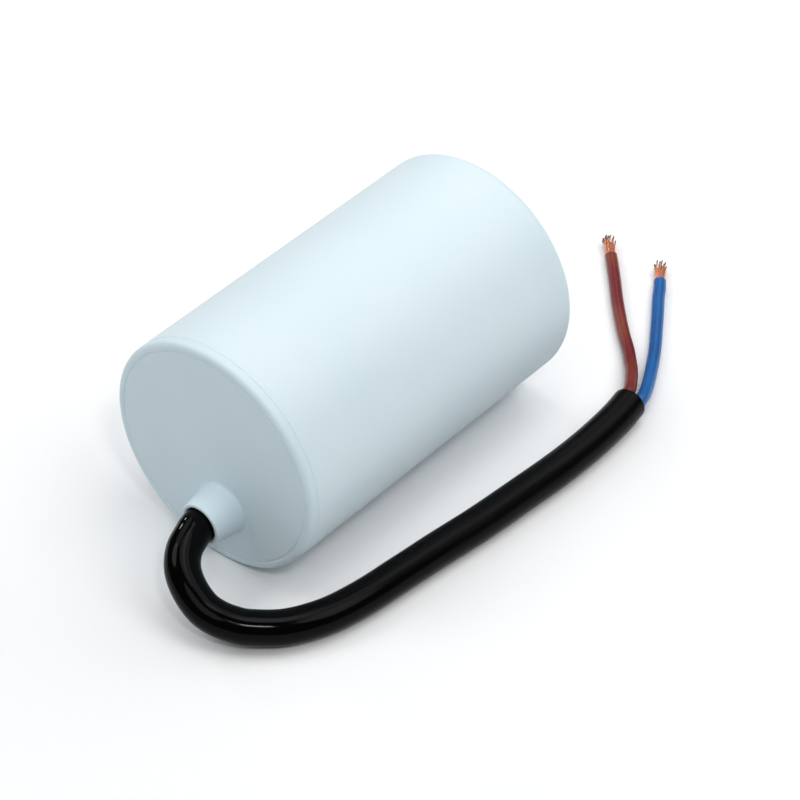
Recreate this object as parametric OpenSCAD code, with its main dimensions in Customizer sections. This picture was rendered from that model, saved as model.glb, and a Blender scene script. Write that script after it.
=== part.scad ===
// Motor run capacitor in a plastic can, lying on its side.
// A metallised film winding is potted inside a round can. A lid closes the can,
// and a two-core cable leaves through a boss on the lid, off the can's axis.
// Millimetres, +Z up. The can's axis runs along X with the lid at -X, the cable
// comes round to the -Y side, and both rest on the plane z = 0.

/* [Can] */
// Outer diameter of the can and of the lid
can_d = 45; // [44:0.5:60]
// Length from the lid's face to the closed end
can_l = 71; // [70:0.5:100]
// Thickness of the can's side wall
wall = 1.5; // [0.8:0.1:2]
// Thickness of the can's closed end
end_wall = 2; // [1:0.1:3]
// Rounding of the closed end's outer edge
end_round = 2; // [0.5:0.1:3]
// Rounding inside the closed end
inner_round = 1; // [0.3:0.1:1.5]

/* [Lid] */
// Thickness of the lid's flange
lid_t = 2; // [1.5:0.1:3]
// Rounding of the lid's front edge
lid_round = 1; // [0.3:0.1:1.2]
// Distance from the rim in to the middle of the groove
groove_inset = 1.7; // [1.4:0.1:3]
// Width of the groove
groove_w = 0.5; // [0.3:0.05:0.6]
// Depth of the groove
groove_depth = 0.3; // [0.1:0.05:0.5]
// Length of the spigot that enters the can
spigot_l = 4; // [2:0.5:4.5]
// Wall of the spigot
spigot_wall = 1.3; // [0.8:0.1:1.6]
// Gap around the spigot in the can
spigot_gap = 0.1; // [0.05:0.01:0.2]
// Bevel on both edges of the seam
seam_bevel = 0.15; // [0.1:0.05:0.3]

/* [Cable boss] */
// Diameter of the boss where it stands on the lid
boss_d = 10.2; // [9.8:0.1:13]
// Diameter of the boss at its mouth
boss_mouth_d = 8.2; // [8:0.1:9.6]
// Length of the boss
boss_l = 6; // [4:0.1:8]
// Fillet between the boss and the lid
boss_fillet = 0.8; // [0.2:0.1:0.8]
// Rounding of the boss's outer edge at the mouth
mouth_round = 0.3; // [0.1:0.1:0.3]
// Bevel of the bore at the mouth
bore_bevel = 0.2; // [0.1:0.05:0.3]
// Height of the boss's axis above the lid's lowest point
boss_rise = 12.3; // [10:0.1:13.5]
// How far the boss lies to the side of the can's axis
boss_side = 2; // [0:0.1:3]
// Gap around the cable in the bore
bore_gap = 0.2; // [0.05:0.05:0.3]

/* [Winding] */
// Resin between the winding and the can's side wall
side_gap = 2.5; // [1.5:0.1:3]
// Room for the leads between the cable's inner end and the winding
lead_room = 7.6; // [7.2:0.1:12]
// Outer diameter of the winding's plastic core
core_tube_d = 8; // [7:0.1:9]
// Bore of the winding's plastic core
core_tube_bore = 5.2; // [4.5:0.1:6]
// Thickness of the metal sprayed on each end
spray_t = 0.7; // [0.3:0.1:1]
// Depth of resin between the winding and the closed end
base_gap = 4; // [3.8:0.1:6]
// How far the resin's surface lies behind the spigot's end
resin_gap = 0.5; // [0.2:0.1:1]
// Gap between curved faces that lie one inside the other
fit_gap = 0.05; // [0.02:0.01:0.1]

/* [Cable] */
// Diameter of the cable's outer sheath
sheath_d = 6.4; // [6:0.1:6.8]
// Length of the sheath inside the can, from the seam
sheath_in = 6; // [5.6:0.1:7]
// Diameter of each insulated core
wire_d = 2.4; // [2:0.1:2.6]
// Gap between the two cores in the sheath
wire_gap = 0.3; // [0.2:0.05:0.5]
// How far the pair is twisted out of level where the sheath ends
pair_twist = 13; // [0:1:40]

/* [Leads and joints] */
// Bending radius of the insulated leads
lead_bend = 2.4; // [2.2:0.1:2.6]
// Straight stretch of the brown lead between its two bends
lead_step = 0.4; // [0.2:0.1:1]
// Bending radius of the bare conductor at the far joint
bare_bend = 1.5; // [1.2:0.1:1.6]
// Diameter of the bare conductor
bare_d = 1.3; // [1:0.1:1.5]
// Length of bare conductor before each joint
bare_l = 2.2; // [2:0.1:2.5]
// Distance of the far joint from the winding's rim
joint_far_in = 7.5; // [5:0.1:9]
// Diameter of each solder joint
joint_d = 4.4; // [4:0.1:4.6]
// Height of each solder joint
joint_h = 1.4; // [1:0.1:1.6]

/* [Copper strands] */
// Diameter of one strand
strand_d = 0.23; // [0.15:0.01:0.24]
// Gap between neighbouring strands where the insulation ends
strand_gap = 0.05; // [0.02:0.01:0.05]
// Layers of strands; the first has two strands and each next one six more
strand_layers = 3; // [2:1:3]
// Length of bare strands at each core's end
strip_l = 5.2; // [4:0.1:9]
// How many times wider the bundle is at its tips
splay = 1.6; // [1.2:0.1:2]
// Turn of the strands about the bundle over their bare length
lay_turn = 40; // [0:5:60]

/* [Hidden] */
$fn = 96;

// Stations along X, from the lid's mouth to the closed end.
x_mouth = -(can_l + boss_l) / 2;
x_lid = x_mouth + boss_l;
x_seam = x_lid + lid_t;
x_end = x_lid + can_l;
x_inside = x_end - end_wall;
x_spray_far = x_inside - base_gap;
x_roll_far = x_spray_far - spray_t;
x_resin = x_seam + spigot_l + resin_gap;
x_sheath_in = x_seam + sheath_in;
x_spray_near = x_sheath_in + lead_room;
x_roll_near = x_spray_near + spray_t;
x_turn_near = x_sheath_in + lead_bend;
x_turn_far = (x_spray_far + x_inside) / 2;

// Radii and places across X.
can_r = can_d / 2;
bore_r = can_r - wall;
axis_z = can_r;
spigot_r = bore_r - spigot_gap;
roll_r = bore_r - side_gap;
boss_y = -boss_side;
boss_z = boss_rise;
boss_drop = axis_z - boss_z;
boss_bore_r = sheath_d / 2 + bore_gap;
sheath_r = sheath_d / 2;
wire_r = wire_d / 2;
pair_r = (wire_d + wire_gap) / 2;
small_fn = 48;

// The free cable, by points chosen by hand. Each point is [X from the boss's
// mouth, Y from the boss's axis, height above the plane the cable rests on]. The
// height is a share of the boss's own height, as the cable comes down from it.
sheath_route = [
    [-2.5, -0.5, 0.956], [-5.5, -1.5, 0.867], [-8, -3.5, 0.711], [-9.5, -6.5, 0.522],
    [-10, -9.8, 0.333], [-9.5, -12.5, 0.222], [-8.3, -15, 0.133], [-6.5, -17.5, 0.067],
    [-2, -21.7, 0.011], [4.5, -25, 0], [12, -26.8, 0], [20.5, -27.8, 0],
    [29.5, -28.8, 0], [39, -30, 0], [48.5, -30.8, 0], [59.5, -31.6, 0],
    [68.5, -31.7, 0], [76.5, -31.2, 0], [81.7, -30.4, 0]
];

// The two cores past the sheath's end. Their heights are in millimetres, from the
// plane to a core's underside.
brown_route = [
    [84.2, -28.35, 2.15], [86.9, -26.75, 1.65], [90.2, -24.35, 1], [92.75, -22.1, 0.5],
    [95.25, -19.75, 0.2], [98.75, -15.95, 0], [102.25, -12.4, 0], [105.6, -9.15, 0],
    [109.2, -5.9, 0], [113, -2.4, 0], [115.8, 0.3, 0]
];
blue_route = [
    [84.3, -31.15, 1.65], [86.6, -30.3, 1.3], [90.1, -28.5, 0.8], [93.65, -26.45, 0.4],
    [98.5, -23.5, 0.1], [102.7, -20.65, 0], [106.9, -17.75, 0], [110.9, -14.9, 0],
    [113.6, -13.15, 0], [115.6, -11.7, 0]
];
cord_steps = 2;

function unit(v) = v / norm(v);

// Points of a route in the part's frame, for a cord of radius r. Heights in the
// route are multiplied by rise.
function placed(route, r, rise) = [
    for (p = route) [x_mouth + p.x, boss_y + p.y, r + rise * p.z]
];

// A smooth curve through the points, with its ends carried straight on.
function curve_point(a, b, c, d, t) =
    ((2 * b) + (c - a) * t + (2 * a - 5 * b + 4 * c - d) * t * t
    + (3 * b - a - 3 * c + d) * t * t * t) / 2;
function smooth(points, steps) =
    let (
        n = len(points),
        ends = concat(
            [2 * points[0] - points[1]],
            points,
            [2 * points[n - 1] - points[n - 2]]
        )
    )
    concat(
        [for (i = [0 : n - 2], k = [0 : steps - 1])
            curve_point(ends[i], ends[i + 1], ends[i + 2], ends[i + 3], k / steps)],
        [points[n - 1]]
    );

// Keeps a cord of radius r on the plane it lies on.
function lying(points, r) = [for (p = points) [p.x, p.y, max(p.z, r)]];

// Direction of travel at each point; the first and last are as given.
function headings(points, first, last) = [
    for (i = [0 : len(points) - 1])
        i == 0 ? first
        : i == len(points) - 1 ? last
        : unit(points[i + 1] - points[i - 1])
];

sheath_inner = [
    [x_sheath_in, boss_y, boss_z],
    [(x_sheath_in + x_mouth) / 2, boss_y, boss_z],
    [x_mouth, boss_y, boss_z]
];
sheath_points = lying(
    smooth(concat(sheath_inner, placed(sheath_route, sheath_r, boss_z - sheath_r)), cord_steps),
    sheath_r
);
sheath_last = len(sheath_points) - 1;
cable_end = sheath_points[sheath_last];
cable_way = unit(cable_end - sheath_points[sheath_last - 1]);
cable_side = [-cable_way.y, cable_way.x, 0];
pair_offset = pair_r * (cos(pair_twist) * cable_side + [0, 0, sin(pair_twist)]);
brown_points = lying(
    smooth(concat([cable_end + pair_offset], placed(brown_route, wire_r, 1)), cord_steps), wire_r
);
blue_points = lying(
    smooth(concat([cable_end - pair_offset], placed(blue_route, wire_r, 1)), cord_steps), wire_r
);

// Where each core meets the sheath's inner end, as [Y, Z] from the can's axis.
brown_in = [boss_y + pair_r, -boss_drop];
blue_in = [boss_y - pair_r, -boss_drop];
joint_near_w = norm(brown_in) + 2 * lead_bend + lead_step;
joint_far_w = roll_r - joint_far_in;

// Turns a shape drawn along Z onto the can's axis.
module on_axis() {
    translate([0, 0, axis_z]) rotate([0, 90, 0]) children();
}

// The same, on the boss's axis.
module on_boss() {
    translate([0, boss_y, boss_z]) rotate([0, 90, 0]) children();
}

// Disc or tube on the can's axis between two stations.
module disc(r, x0, x1) {
    on_axis() translate([0, 0, x0]) cylinder(r = r, h = x1 - x0);
}

// Half section of a round body whose far edge is rounded.
module round_ended(r, x0, x1, edge) {
    translate([0, x0]) square([r, x1 - x0 - edge]);
    translate([0, x0]) square([r - edge, x1 - x0]);
    translate([r - edge, x1 - edge]) circle(r = edge, $fn = small_fn);
}

// Half section of a bevel ring that cuts an outer edge at station x.
module bevel_cut(r, x, size) {
    polygon([[r - size, x], [r + size, x - size], [r + size, x + size]]);
}

module case() {
    color([0.85, 0.92, 0.95])
    on_axis() rotate_extrude()
    difference() {
        round_ended(can_r, x_seam, x_end, end_round);
        translate([0, -1]) round_ended(bore_r, x_seam, x_inside + 1, inner_round);
        bevel_cut(can_r, x_seam, seam_bevel);
    }
}

// Half section of the lid's flange on y = 0, with its rounded front edge and groove.
module flange_section() {
    difference() {
        mirror([0, 1]) round_ended(can_r, -lid_t, 0, lid_round);
        translate([can_r - groove_inset - groove_w / 2, groove_depth - lid_t])
            square([groove_w, lid_t]);
        bevel_cut(can_r, lid_t, seam_bevel);
    }
}

// Half section of the boss, standing on y = 0 and reaching down: a cone with a
// fillet at its foot and a rounded mouth. It starts inside the flange.
module boss_section() {
    base_r = boss_d / 2;
    mouth_r = boss_mouth_d / 2;
    slope = atan((base_r - mouth_r) / boss_l);
    round_y = mouth_round - boss_l;
    round_r = mouth_r + mouth_round * (tan(slope) - 1 / cos(slope));
    foot_r = base_r + boss_fillet * (1 / cos(slope) - tan(slope));
    root = lid_t / 2;
    polygon([
        [0, root],
        [0, -boss_l],
        [round_r, -boss_l],
        [round_r + mouth_round * cos(slope), round_y - mouth_round * sin(slope)],
        [base_r, 0],
        [base_r, root]
    ]);
    translate([round_r, round_y]) circle(r = mouth_round, $fn = small_fn);
    difference() {
        polygon([
            [foot_r - boss_fillet * cos(slope), boss_fillet * (sin(slope) - 1)],
            [foot_r, -boss_fillet],
            [foot_r, 0],
            [base_r, 0]
        ]);
        translate([foot_r, -boss_fillet]) circle(r = boss_fillet, $fn = small_fn);
    }
}

// The bore for the cable, bevelled at the mouth.
module cable_bore() {
    past = 1;
    translate([0, 0, -boss_l - past])
        cylinder(r = boss_bore_r, h = boss_l + lid_t + 2 * past);
    translate([0, 0, -boss_l - past])
        cylinder(r1 = boss_bore_r + bore_bevel + past, r2 = boss_bore_r, h = bore_bevel + past);
}

module spigot() {
    past = 1;
    difference() {
        cylinder(r = spigot_r, h = spigot_l);
        translate([0, 0, -past])
            cylinder(r = spigot_r - spigot_wall, h = spigot_l + 2 * past);
    }
}

module lid() {
    color([0.78, 0.86, 0.9])
    translate([x_lid, 0, 0]) difference() {
        union() {
            on_axis() rotate_extrude() flange_section();
            on_axis() translate([0, 0, lid_t]) spigot();
            on_boss() rotate_extrude() boss_section();
        }
        on_boss() cable_bore();
    }
}

module film_roll() {
    color([0.75, 0.77, 0.8])
    difference() {
        disc(roll_r, x_roll_near, x_roll_far);
        disc(core_tube_d / 2 + fit_gap, x_roll_near - 1, x_roll_far + 1);
    }
}

module winding_core() {
    color([0.9, 0.9, 0.86])
    difference() {
        disc(core_tube_d / 2, x_roll_near, x_roll_far);
        disc(core_tube_bore / 2, x_roll_near - 1, x_roll_far + 1);
    }
}

// Metal sprayed on one end of the winding, open over the core's bore.
module end_spray(x) {
    color([0.6, 0.61, 0.63])
    difference() {
        disc(roll_r, x, x + spray_t);
        disc(core_tube_bore / 2, x - 1, x + spray_t + 1);
    }
}

// Plane of a lead: X stays, and local Z runs from the can's axis through [Y, Z].
module lead_plane(place) {
    translate([0, 0, axis_z]) rotate([atan2(-place.x, place.y), 0, 0]) children();
}

// Straight stretch of a lead along X, and one across X, in the lead's plane.
module lead_along(x0, x1, w, d) {
    translate([x0, 0, w]) rotate([0, 90, 0]) cylinder(d = d, h = x1 - x0, $fn = small_fn);
}
module lead_across(x, w0, w1, d) {
    translate([x, 0, w0]) cylinder(d = d, h = w1 - w0, $fn = small_fn);
}

// Quarter turn of a lead, centred at [x, w], from angle a to a + 90.
module lead_elbow(x, w, bend, a, d) {
    translate([x, 0, w]) rotate([90, 0, 0]) rotate([0, 0, a])
        rotate_extrude(angle = 90) translate([bend, 0]) circle(d = d, $fn = small_fn);
}

// The brown lead turns away from the axis and on to the winding's near end.
module brown_inner_lead(gap = 0) {
    w = norm(brown_in);
    d = wire_d + 2 * gap;
    color([0.45, 0.17, 0.13])
    lead_plane(brown_in) {
        lead_elbow(x_sheath_in, w + lead_bend, lead_bend, 270, d);
        lead_across(x_turn_near, w + lead_bend, joint_near_w - lead_bend, d);
        lead_elbow(x_turn_near + lead_bend, joint_near_w - lead_bend, lead_bend, 90, d);
        lead_along(x_turn_near + lead_bend, x_spray_near - bare_l, joint_near_w, d);
    }
}

// The blue lead turns to the axis, runs through the core and turns outward.
module blue_inner_lead(gap = 0) {
    w = norm(blue_in);
    d = wire_d + 2 * gap;
    x_out = x_turn_far - lead_bend;
    color([0.1, 0.33, 0.65])
    lead_plane(blue_in) {
        lead_elbow(x_sheath_in, w - lead_bend, lead_bend, 0, d);
        lead_across(x_turn_near, lead_bend, w - lead_bend, d);
        lead_elbow(x_turn_near + lead_bend, lead_bend, lead_bend, 180, d);
        lead_along(x_turn_near + lead_bend, x_out, 0, d);
        lead_elbow(x_out, lead_bend, lead_bend, 270, d);
        lead_across(x_turn_far, lead_bend, joint_far_w - bare_l, d);
    }
}

// Bare conductor from the brown lead's end straight to the sprayed metal.
module brown_bare_end(gap = 0) {
    color([0.8, 0.5, 0.3])
    lead_plane(brown_in)
        lead_along(x_spray_near - bare_l, x_spray_near, joint_near_w, bare_d + 2 * gap);
}

// Bare conductor from the blue lead's end, bent back to the sprayed metal.
module blue_bare_end(gap = 0) {
    d = bare_d + 2 * gap;
    x_back = x_turn_far - bare_bend;
    color([0.8, 0.5, 0.3])
    lead_plane(blue_in) {
        lead_across(x_turn_far, joint_far_w - bare_l, joint_far_w - bare_bend, d);
        lead_elbow(x_back, joint_far_w - bare_bend, bare_bend, 0, d);
        lead_along(x_spray_far, x_back, joint_far_w, d);
    }
}

// Solder joint standing on z = 0: a low dome.
module dome(gap = 0) {
    foot_r = joint_d / 2;
    dome_r = (foot_r * foot_r + joint_h * joint_h) / (2 * joint_h);
    rotate_extrude() intersection() {
        translate([0, joint_h - dome_r]) circle(r = dome_r + gap, $fn = small_fn);
        square([joint_d, joint_d]);
    }
}
module near_dome(gap = 0) {
    lead_plane(brown_in) translate([x_spray_near, 0, joint_near_w]) rotate([0, -90, 0])
        dome(gap);
}
module far_dome(gap = 0) {
    lead_plane(blue_in) translate([x_spray_far, 0, joint_far_w]) rotate([0, 90, 0])
        dome(gap);
}

module solder_joint_brown() {
    color([0.72, 0.73, 0.75])
    difference() {
        near_dome();
        brown_bare_end();
    }
}

module solder_joint_blue() {
    color([0.72, 0.73, 0.75])
    difference() {
        far_dome();
        blue_bare_end();
    }
}

// Everything that the resin flows round.
module resin_pockets() {
    disc(roll_r + fit_gap, x_spray_near, x_spray_far);
    on_boss() translate([0, 0, x_resin - 1])
        cylinder(r = sheath_r + fit_gap, h = x_sheath_in - x_resin + 1);
    brown_inner_lead(fit_gap);
    blue_inner_lead(fit_gap);
    brown_bare_end(fit_gap);
    blue_bare_end(fit_gap);
    near_dome(fit_gap);
    far_dome(fit_gap);
}

module potting_resin() {
    color([0.55, 0.5, 0.4])
    difference() {
        on_axis() rotate_extrude()
            round_ended(bore_r - fit_gap, x_resin, x_inside, inner_round);
        resin_pockets();
    }
}

// Round cord swept along points, with its end faces square to the given headings.
module cord(points, r, sides, first, last) {
    ways = headings(points, first, last);
    n = len(points);
    rings = [
        for (i = [0 : n - 1])
            let (
                side = unit(cross([0, 0, 1], ways[i])),
                up = cross(ways[i], side)
            )
            for (k = [0 : sides - 1])
                let (a = k * 360 / sides)
                points[i] + r * (cos(a) * side + sin(a) * up)
    ];
    walls = [
        for (i = [0 : n - 2], k = [0 : sides - 1])
            let (j = (k + 1) % sides)
            [i * sides + k, (i + 1) * sides + k, (i + 1) * sides + j, i * sides + j]
    ];
    start_face = [for (k = [0 : sides - 1]) k];
    end_face = [for (k = [sides - 1 : -1 : 0]) (n - 1) * sides + k];
    polyhedron(points = rings, faces = concat([start_face], walls, [end_face]), convexity = 6);
}

module sheath() {
    color([0.06, 0.06, 0.07])
    cord(sheath_points, sheath_r, 12, [-1, 0, 0], cable_way);
}

// Direction of a core at its stripped end.
function last_way(points) = unit(points[len(points) - 1] - points[len(points) - 2]);

module brown_core() {
    color([0.5, 0.17, 0.15])
    cord(brown_points, wire_r, 8, cable_way, last_way(brown_points));
}

module blue_core() {
    color([0.08, 0.33, 0.68])
    cord(blue_points, wire_r, 8, cable_way, last_way(blue_points));
}

// Bare strands that fan out of a core's end, in layers round its axis. Each keeps
// its own place in the bundle, so that they spread and turn without crossing.
module strand_fan(points) {
    tip = points[len(points) - 1];
    way = last_way(points);
    side = unit(cross([0, 0, 1], way));
    up = cross(way, side);
    fan_steps = 4;
    for (layer = [0 : strand_layers - 1])
        let (count = 2 + 6 * layer, place = (layer + 0.5) * (strand_d + strand_gap))
        for (i = [0 : count - 1])
            let (
                length = strip_l * (0.88 + 0.12 * sin(61 * layer + 97 * i)),
                spread = splay * (1 + 0.08 * sin(83 * layer + 131 * i)) - 1,
                line = [
                    for (k = [0 : fan_steps])
                        let (
                            t = k / fan_steps,
                            angle = 360 * i / count + 20 * layer + lay_turn * t * t,
                            out = cos(angle) * side + sin(angle) * up
                        )
                        tip + way * length * t + out * place * (1 + spread * t * t)
                ]
            )
            cord(lying(line, strand_d / 2), strand_d / 2, 6, way, last_way(line));
}

module brown_strands() {
    color([0.86, 0.5, 0.3]) strand_fan(brown_points);
}

module blue_strands() {
    color([0.86, 0.5, 0.3]) strand_fan(blue_points);
}

case();
lid();
potting_resin();
film_roll();
winding_core();
end_spray(x_spray_near);  // end_spray_near
end_spray(x_roll_far);  // end_spray_far
brown_inner_lead();
blue_inner_lead();
brown_bare_end();
blue_bare_end();
solder_joint_brown();
solder_joint_blue();
sheath();
brown_core();
blue_core();
brown_strands();
blue_strands();
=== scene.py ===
"""Looks of a motor run capacitor that lies on its side with its cable beside it.

Lengths are in metres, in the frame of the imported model: the can's axis runs along
X with the lid at -X, Z is up and everything rests on z = 0.
"""
from __future__ import annotations

import logging
import math
from collections.abc import Iterable
from dataclasses import dataclass, field
from enum import Enum
from functools import cached_property

import bmesh
import bpy
from mathutils import Matrix, Vector


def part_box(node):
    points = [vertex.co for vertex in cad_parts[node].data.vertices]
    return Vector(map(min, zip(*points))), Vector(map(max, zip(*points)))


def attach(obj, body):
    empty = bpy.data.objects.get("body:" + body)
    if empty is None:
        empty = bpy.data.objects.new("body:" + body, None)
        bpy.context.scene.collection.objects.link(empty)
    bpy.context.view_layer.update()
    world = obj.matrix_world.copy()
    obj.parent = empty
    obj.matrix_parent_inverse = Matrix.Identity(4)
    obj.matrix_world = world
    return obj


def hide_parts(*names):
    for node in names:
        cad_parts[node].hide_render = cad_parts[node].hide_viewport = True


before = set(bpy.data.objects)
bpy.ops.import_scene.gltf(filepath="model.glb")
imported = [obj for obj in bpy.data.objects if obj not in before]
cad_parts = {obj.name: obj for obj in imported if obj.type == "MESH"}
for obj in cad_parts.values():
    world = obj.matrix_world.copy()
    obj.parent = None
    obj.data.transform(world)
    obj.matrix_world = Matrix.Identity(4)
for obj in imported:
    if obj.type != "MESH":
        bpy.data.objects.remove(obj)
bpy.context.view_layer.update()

LOG = logging.getLogger("capacitor")
MM = 0.001
Colour = tuple[float, float, float]
Point = tuple[float, float, float]
Pair = tuple[float, float]
Profile = list[Pair]
Object = bpy.types.Object
Mesh = bpy.types.Mesh
BMesh = bmesh.types.BMesh
Socket = bpy.types.NodeSocket
Material = bpy.types.Material
Edges = list[bmesh.types.BMEdge]


def linear(colour: Colour) -> tuple[float, float, float, float]:
    """Turn a colour as seen on a screen into the linear values a shader takes.

    Args:
        colour: Red, green and blue from 0 to 1.

    Returns:
        The linear colour, with an alpha of 1.
    """
    parts = (c / 12.92 if c <= 0.04045 else ((c + 0.055) / 1.055) ** 2.4 for c in colour)
    return (*parts, 1.0)


# ---- Node helpers ----

def live(sockets: Iterable[Socket], name: str | None = None) -> Socket:
    """Return the first socket that its node's settings leave in use, by name if given."""
    return next(s for s in sockets if s.enabled and name in (None, s.name))


class NodeGraph:
    """A node tree with short calls to add and join its nodes."""

    def __init__(self, tree: bpy.types.NodeTree) -> None:
        """Wrap a tree and clear it."""
        self.tree = tree
        tree.nodes.clear()

    def add(self, kind: str, inputs: dict[int | str, object] | None = None,
            **settings: object) -> bpy.types.Node:
        """Add a node.

        Args:
            kind: The node's type name.
            inputs: Values or output sockets, by input name or index.
            settings: Properties of the node itself.

        Returns:
            The new node.
        """
        node = self.tree.nodes.new(kind)
        for name, value in settings.items():
            setattr(node, name, value)
        for key, value in (inputs or {}).items():
            if isinstance(value, Socket):
                self.tree.links.new(value, node.inputs[key])
            else:
                node.inputs[key].default_value = value
        return node

    def math(self, operation: str, *values: object) -> Socket:
        """Return the result of a math node on one, two or three values."""
        return self.add("ShaderNodeMath", dict(enumerate(values)), operation=operation).outputs[0]

    def vector(self, *parts: object) -> Socket:
        """Return a vector of up to three parts."""
        return self.add("ShaderNodeCombineXYZ", dict(enumerate(parts))).outputs[0]

    def parts(self, vector: Socket) -> list[Socket]:
        """Return the three parts of a vector."""
        return list(self.add("ShaderNodeSeparateXYZ", {0: vector}).outputs)


class ShaderGraph(NodeGraph):
    """The node tree of one material, with a Principled shader at its end."""

    def __init__(self, name: str) -> None:
        """Make the material and its shader.

        Args:
            name: The material's name.
        """
        self.material = bpy.data.materials.new(name)
        self.material.use_nodes = True
        super().__init__(self.material.node_tree)
        self.shader = self.add("ShaderNodeBsdfPrincipled")
        output = self.add("ShaderNodeOutputMaterial")
        self.tree.links.new(self.shader.outputs[0], output.inputs[0])
        self.place = self.add("ShaderNodeTexCoord").outputs["Object"]

    def feed(self, socket: Socket, value: object) -> None:
        """Fill an input.

        Args:
            socket: The input.
            value: A socket to follow, a colour as seen on a screen or a number.
        """
        if isinstance(value, Socket):
            self.tree.links.new(value, socket)
        else:
            socket.default_value = linear(value) if isinstance(value, tuple) else value

    def noise(self, size: float, detail: float, vector: Socket | None = None) -> Socket:
        """Lay noise over the surface.

        Args:
            size: Width of its features in metres.
            detail: How many finer layers it has.
            vector: Where to read it, if not at the place on the object.

        Returns:
            The noise, from 0 to 1.
        """
        node = self.add("ShaderNodeTexNoise", {
            "Vector": vector or self.place, "Scale": 1.0 / size, "Detail": detail})
        return node.outputs["Fac"]

    def ramp(self, value: Socket, low: float, high: float,
             to_low: float = 0.0, to_high: float = 1.0) -> Socket:
        """Map a value to another range and clamp it.

        Args:
            value: The value.
            low: Where its range starts.
            high: Where its range ends.
            to_low: What it becomes at low.
            to_high: What it becomes at high.

        Returns:
            The mapped value.
        """
        node = self.add("ShaderNodeMapRange", {
            "Value": value, "From Min": low, "From Max": high,
            "To Min": to_low, "To Max": to_high})
        return node.outputs[0]

    def spread(self, noise: Socket, low: float = 0.0, high: float = 1.0) -> Socket:
        """Return a noise, which seldom leaves its middle, spread over low..high."""
        return self.ramp(noise, 0.3, 0.7, low, high)

    def mix(self, factor: object, first: object, second: object) -> Socket:
        """Mix two colours.

        Args:
            factor: Share of the second colour, a socket or a number.
            first: A colour as a socket or as seen on a screen.
            second: The other colour.

        Returns:
            The mixed colour.
        """
        node = self.add("ShaderNodeMix", data_type="RGBA")
        for index, value in ((0, factor), (6, first), (7, second)):
            self.feed(node.inputs[index], value)
        return node.outputs[2]

    def bump(self, height: Socket, depth: float, strength: float,
             normal: Socket | None = None) -> Socket:
        """Bump the surface.

        Args:
            height: Height from 0 to 1.
            depth: What a height of 1 is in metres.
            strength: Share of the bump that is kept.
            normal: A bump to add this one to.

        Returns:
            The bumped normal.
        """
        node = self.add("ShaderNodeBump", {"Height": height, "Distance": depth,
                                           "Strength": strength})
        if normal:
            self.tree.links.new(normal, node.inputs["Normal"])
        return node.outputs[0]

    def finish(self, **inputs: object) -> Material:
        """Set the shader's inputs and return the material.

        Args:
            inputs: Values or sockets by the shader's input name, with _ for a space.

        Returns:
            The finished material.
        """
        for name, value in inputs.items():
            self.feed(self.shader.inputs[name.replace("_", " ")], value)
        return self.material


class GeometryGraph(NodeGraph):
    """A Geometry Nodes tree with named inputs, whose result becomes a plain mesh."""

    def __init__(self, name: str) -> None:
        """Make an empty tree.

        Args:
            name: The tree's name.
        """
        super().__init__(bpy.data.node_groups.new(name, "GeometryNodeTree"))
        self.entry = self.add("NodeGroupInput")
        self.identifiers: dict[str, str] = {}

    def input(self, name: str, kind: str) -> Socket:
        """Declare an input of the tree.

        Args:
            name: The input's name.
            kind: The end of its socket type's name, such as Float.

        Returns:
            The socket that gives its value inside the tree.
        """
        item = self.tree.interface.new_socket(
            name=name, in_out="INPUT", socket_type="NodeSocket" + kind)
        self.identifiers[name] = item.identifier
        return self.entry.outputs[name]

    def polar(self, length: Socket, angle: Socket) -> list[Socket]:
        """Return the two parts of a flat vector with this length and angle."""
        return [self.math("MULTIPLY", length, self.math(part, angle))
                for part in ("COSINE", "SINE")]

    def close(self, geometry: Socket, material: Socket) -> None:
        """End the tree: realize what is instanced, shade it smooth and set its material.

        Args:
            geometry: What the tree has made.
            material: The material's socket.
        """
        real = self.add("GeometryNodeRealizeInstances", {"Geometry": geometry})
        smooth = self.add("GeometryNodeSetShadeSmooth", {"Geometry": real.outputs[0]})
        named = self.add("GeometryNodeSetMaterial", {
            "Geometry": smooth.outputs[0], "Material": material})
        self.tree.interface.new_socket(
            name="Geometry", in_out="OUTPUT", socket_type="NodeSocketGeometry")
        self.add("NodeGroupOutput", {0: named.outputs[0]})

    def run(self, name: str, source: Mesh, values: dict[str, object]) -> Object:
        """Evaluate the tree on a mesh.

        Args:
            name: Name of the object to make.
            source: Mesh that the tree's geometry input receives.
            values: Values of the other inputs, by name.

        Returns:
            An object with the evaluated mesh and no modifier.
        """
        maker = link(name + "_maker", source)
        modifier = maker.modifiers.new("nodes", "NODES")
        modifier.node_group = self.tree
        for key, value in values.items():
            modifier[self.identifiers[key]] = value
        depsgraph = bpy.context.evaluated_depsgraph_get()
        mesh = bpy.data.meshes.new_from_object(maker.evaluated_get(depsgraph))
        mesh.name = name
        bpy.data.objects.remove(maker)
        bpy.data.meshes.remove(source)
        return link(name, mesh)


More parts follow.
